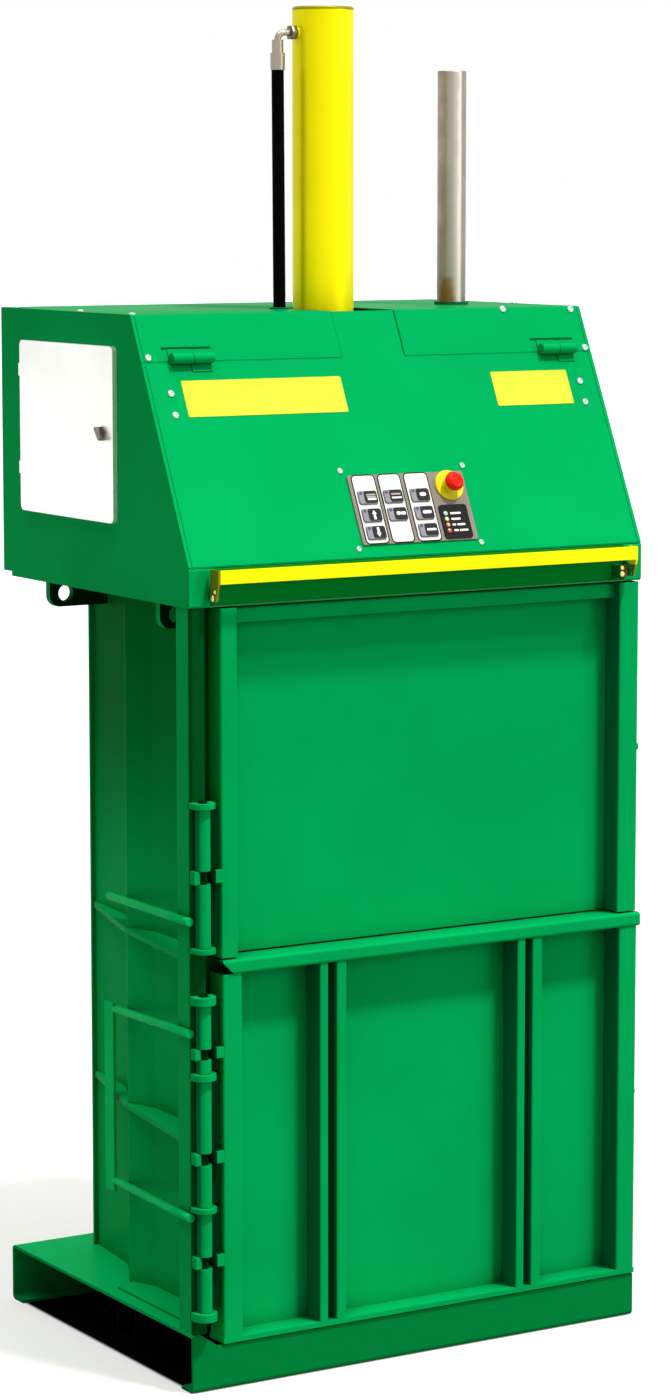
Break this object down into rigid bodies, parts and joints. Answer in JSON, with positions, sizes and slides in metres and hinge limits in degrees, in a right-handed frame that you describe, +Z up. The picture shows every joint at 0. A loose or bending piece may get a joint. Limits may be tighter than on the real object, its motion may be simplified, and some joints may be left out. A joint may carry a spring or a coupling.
{
  "type": "recycling baler",
  "caption": "Upright hydraulic baler with a feed door over a bale door, a sloped control hood and a tall press cylinder.",
  "frame": {"origin": "On the floor under the middle of the base, on the underside of the base's cross beam.", "axes": "+Z up, -Y is the front with the two doors, +X is to the right of a person facing the front; the door hinges are on -X."},
  "size_m": [1.039, 0.7835, 2.568],
  "materials": {
    "green_paint": "gloss powder coat",
    "white_paint": "gloss powder coat",
    "grey_paint": "satin paint",
    "yellow_paint": "gloss paint",
    "grey_plate": "satin printed film on steel",
    "black_plastic": "satin moulding",
    "yellow_plastic": "gloss moulding",
    "red_plastic": "gloss moulding",
    "black_rubber": "smooth rubber",
    "bare_steel": "drawn tube, light rust",
    "plated_steel": "zinc plated",
    "zinc_plate": "galvanised sheet",
    "chromed_rod": "hard chrome",
    "bronze": "turned bronze"
  },
  "bodies": {
    "frame": {"base_frame": "green_paint", "base_beam": "green_paint", "chamber_wall_left": "green_paint", "chamber_wall_right": "green_paint", "chamber_wall_rear": "green_paint", "chamber_header": "green_paint", "corner_post_left": "green_paint", "corner_post_right": "green_paint", "lifting_lug_front_left": "green_paint", "lifting_lug_rear_left": "green_paint", "lifting_lug_front_right": "green_paint", "lifting_lug_rear_right": "green_paint", "side_rods": "green_paint", "crosshead": "green_paint", "hood_tray": "green_paint", "hood_side_left": "green_paint", "hood_side_right": "green_paint", "hood_rear_panel": "green_paint", "hood_top": "green_paint", "cover_hinges_fixed": "green_paint", "cabinet_box": "zinc_plate", "mounting_plate": "zinc_plate", "cylinder_barrel": "yellow_paint", "cylinder_gland": "bare_steel", "guide_bush": "bronze", "tube_seal": "black_rubber", "port_elbow": "plated_steel", "pressure_hose": "black_rubber", "valve_block": "plated_steel", "oil_pipe": "plated_steel", "oil_tank": "grey_paint", "pump_motor": "grey_paint"},
    "front_cover": {"hood_cover": "green_paint", "cover_hinges_moving": "green_paint", "control_plate": "grey_plate", "switch_block": "black_plastic", "stop_collar": "yellow_plastic"},
    "stop_button": {"stop_button": "red_plastic"},
    "trip_bar": {"trip_bar": "yellow_paint"},
    "cabinet_door": {"cabinet_door": "white_paint"},
    "cabinet_lock": {"cabinet_lock": "plated_steel"},
    "feed_door": {"feed_door": "green_paint", "feed_panel": "green_paint"},
    "bale_door": {"bale_door": "green_paint", "bale_panel": "green_paint", "cross_bar": "green_paint"},
    "feed_latch": {"feed_latch": "green_paint"},
    "bale_latch": {"bale_latch": "green_paint"},
    "press_ram": {"piston_rod": "chromed_rod", "platen": "green_paint", "guide_tube": "bare_steel"},
    "key_1": {"push_key_1": "black_plastic"},
    "key_2": {"push_key_2": "black_plastic"},
    "key_3": {"push_key_3": "black_plastic"},
    "key_4": {"push_key_4": "black_plastic"},
    "key_5": {"push_key_5": "black_plastic"},
    "key_6": {"push_key_6": "black_plastic"},
    "key_7": {"push_key_7": "black_plastic"},
    "key_8": {"push_key_8": "black_plastic"}
  },
  "joints": [
    {"name": "feed_door_hinge", "type": "hinge", "parent": "frame", "child": "feed_door", "pos_m": [-0.482, -0.3855, 0.975], "axis": [0, 0, -1], "range_deg": [0, 170]},
    {"name": "bale_door_hinge", "type": "hinge", "parent": "frame", "child": "bale_door", "pos_m": [-0.482, -0.3855, 0.45], "axis": [0, 0, -1], "range_deg": [0, 170]},
    {"name": "front_cover_hinge", "type": "hinge", "parent": "frame", "child": "front_cover", "pos_m": [0, -0.20716, 1.91316], "axis": [-1, 0, 0], "range_deg": [0, 75]},
    {"name": "cabinet_door_hinge", "type": "hinge", "parent": "frame", "child": "cabinet_door", "pos_m": [-0.507, 0.2805, 1.7685], "axis": [0, 0, -1], "range_deg": [0, 110]},
    {"name": "cabinet_lock_turn", "type": "hinge", "parent": "cabinet_door", "child": "cabinet_lock", "pos_m": [-0.51, -0.0645, 1.77], "axis": [1, 0, 0], "range_deg": [0, 90]},
    {"name": "trip_bar_hinge", "type": "hinge", "parent": "frame", "child": "trip_bar", "pos_m": [0, -0.3915, 1.489], "axis": [-1, 0, 0], "range_deg": [0, 7], "stiffness_Nm_per_rad": 3, "springref_deg": -11.46},
    {"name": "feed_latch_turn", "type": "hinge", "parent": "frame", "child": "feed_latch", "pos_m": [0.506, -0.2875, 1.14], "axis": [-1, 0, 0], "range_deg": [0, 90]},
    {"name": "bale_latch_turn", "type": "hinge", "parent": "frame", "child": "bale_latch", "pos_m": [0.506, -0.2875, 0.45], "axis": [-1, 0, 0], "range_deg": [0, 90]},
    {"name": "ram_slide", "type": "slide", "parent": "frame", "child": "press_ram", "axis": [0, 0, -1], "range_m": [0, 0.78]},
    {"name": "stop_button_press", "type": "slide", "parent": "front_cover", "child": "stop_button", "axis": [0, 0.9007, -0.4344], "range_m": [0, 0.004]},
    {"name": "key_1_press", "type": "slide", "parent": "front_cover", "child": "key_1", "axis": [0, 0.9007, -0.4344], "range_m": [0, 0.003], "stiffness_N_per_m": 400, "springref_m": -0.002},
    {"name": "key_2_press", "type": "slide", "parent": "front_cover", "child": "key_2", "axis": [0, 0.9007, -0.4344], "range_m": [0, 0.003], "stiffness_N_per_m": 400, "springref_m": -0.002},
    {"name": "key_3_press", "type": "slide", "parent": "front_cover", "child": "key_3", "axis": [0, 0.9007, -0.4344], "range_m": [0, 0.003], "stiffness_N_per_m": 400, "springref_m": -0.002},
    {"name": "key_4_press", "type": "slide", "parent": "front_cover", "child": "key_4", "axis": [0, 0.9007, -0.4344], "range_m": [0, 0.003], "stiffness_N_per_m": 400, "springref_m": -0.002},
    {"name": "key_5_press", "type": "slide", "parent": "front_cover", "child": "key_5", "axis": [0, 0.9007, -0.4344], "range_m": [0, 0.003], "stiffness_N_per_m": 400, "springref_m": -0.002},
    {"name": "key_6_press", "type": "slide", "parent": "front_cover", "child": "key_6", "axis": [0, 0.9007, -0.4344], "range_m": [0, 0.003], "stiffness_N_per_m": 400, "springref_m": -0.002},
    {"name": "key_7_press", "type": "slide", "parent": "front_cover", "child": "key_7", "axis": [0, 0.9007, -0.4344], "range_m": [0, 0.003], "stiffness_N_per_m": 400, "springref_m": -0.002},
    {"name": "key_8_press", "type": "slide", "parent": "front_cover", "child": "key_8", "axis": [0, 0.9007, -0.4344], "range_m": [0, 0.003], "stiffness_N_per_m": 400, "springref_m": -0.002}
  ]
}
